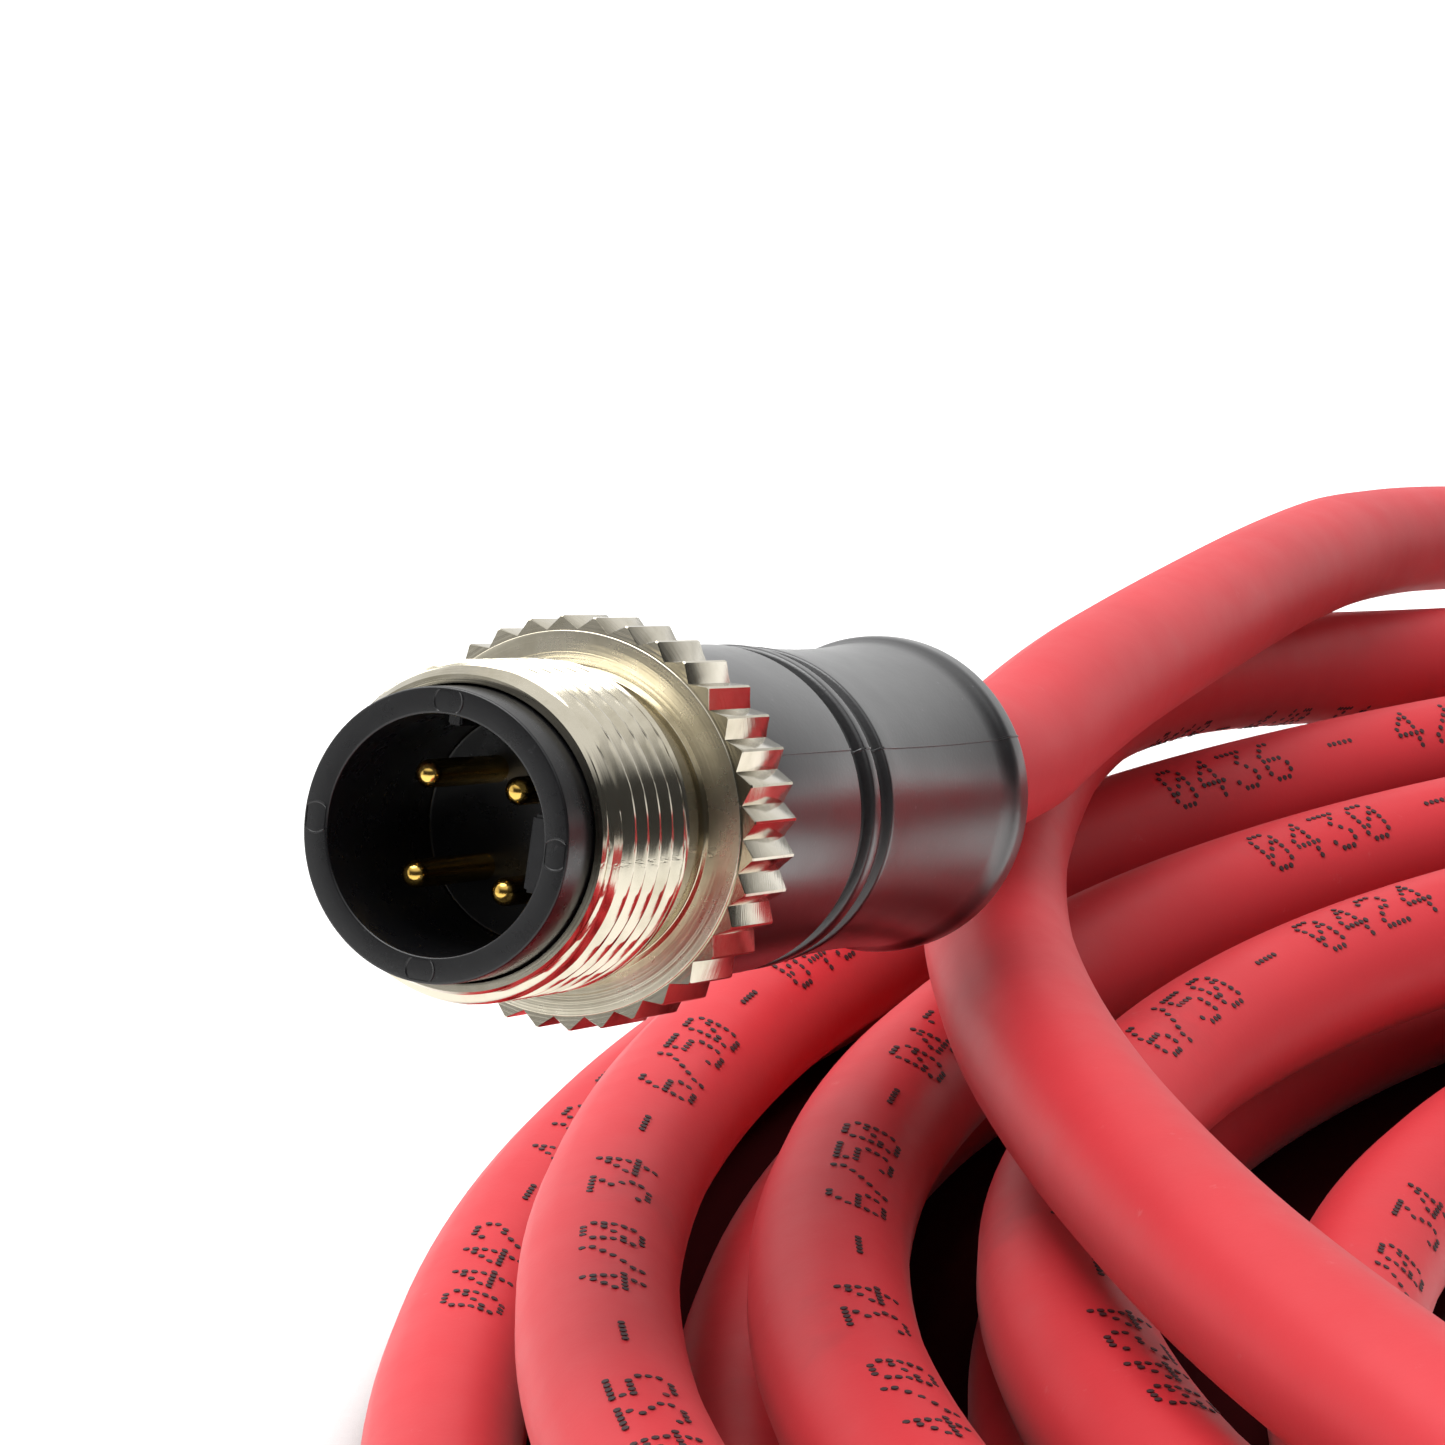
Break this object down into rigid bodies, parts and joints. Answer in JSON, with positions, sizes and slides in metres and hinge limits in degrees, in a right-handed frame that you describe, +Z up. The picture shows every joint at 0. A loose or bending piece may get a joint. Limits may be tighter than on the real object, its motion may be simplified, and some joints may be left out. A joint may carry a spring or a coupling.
{
  "type": "circular connector cable",
  "caption": "Coiled round cable with a straight male circular connector and a knurled coupling screw at each end.",
  "frame": {"origin": "middle of the bounding box, at the floor", "axes": "+Z up, +Y away from the camera of the picture, +X to its right"},
  "size_m": [0.2278, 0.2641, 0.0393],
  "materials": {
    "red_cable_jacket": "extruded matte polyurethane",
    "black_carrier_plastic": "injection moulded, semi-gloss",
    "gold_plated_contact": "turned and gold plated",
    "wire_yellow": "extruded insulation",
    "wire_white": "extruded insulation",
    "wire_orange": "extruded insulation",
    "wire_blue": "extruded insulation",
    "inner_mould_plastic": "low-pressure moulded",
    "tinned_brass": "drawn and tin plated",
    "tinned_copper_braid": "braided tinned copper wire",
    "black_grip_rubber": "overmoulded, satin",
    "nickel_plated_brass": "turned, knurled and nickel plated"
  },
  "bodies": {
    "cordset": {"cable_coil": "red_cable_jacket", "cable_tail_a": "red_cable_jacket", "cable_tail_b": "red_cable_jacket", "contact_carrier_a": "black_carrier_plastic", "contact_pin_1_a": "gold_plated_contact", "contact_pin_2_a": "gold_plated_contact", "contact_pin_3_a": "gold_plated_contact", "contact_pin_4_a": "gold_plated_contact", "wire_1_a": "wire_yellow", "wire_2_a": "wire_white", "wire_3_a": "wire_orange", "wire_4_a": "wire_blue", "core_mould_a": "inner_mould_plastic", "shield_sleeve_a": "tinned_brass", "shield_braid_a": "tinned_copper_braid", "crimp_ferrule_a": "tinned_brass", "grip_a": "black_grip_rubber", "contact_carrier_b": "black_carrier_plastic", "contact_pin_1_b": "gold_plated_contact", "contact_pin_2_b": "gold_plated_contact", "contact_pin_3_b": "gold_plated_contact", "contact_pin_4_b": "gold_plated_contact", "wire_1_b": "wire_yellow", "wire_2_b": "wire_white", "wire_3_b": "wire_orange", "wire_4_b": "wire_blue", "core_mould_b": "inner_mould_plastic", "shield_sleeve_b": "tinned_brass", "shield_braid_b": "tinned_copper_braid", "crimp_ferrule_b": "tinned_brass", "grip_b": "black_grip_rubber"},
    "screw_a": {"coupling_screw_a": "nickel_plated_brass"},
    "screw_b": {"coupling_screw_b": "nickel_plated_brass"}
  },
  "joints": [
    {"name": "coupling_screw_a_spin", "type": "hinge", "parent": "cordset", "child": "screw_a", "pos_m": [-0.10442, -0.03109, 0.03153], "axis": [-0.411, -0.888, 0.206], "continuous": true},
    {"name": "coupling_screw_b_spin", "type": "hinge", "parent": "cordset", "child": "screw_b", "pos_m": [0.0378, -0.04945, 0.00755], "axis": [-0.3582, -0.9331, 0.0333], "continuous": true}
  ]
}
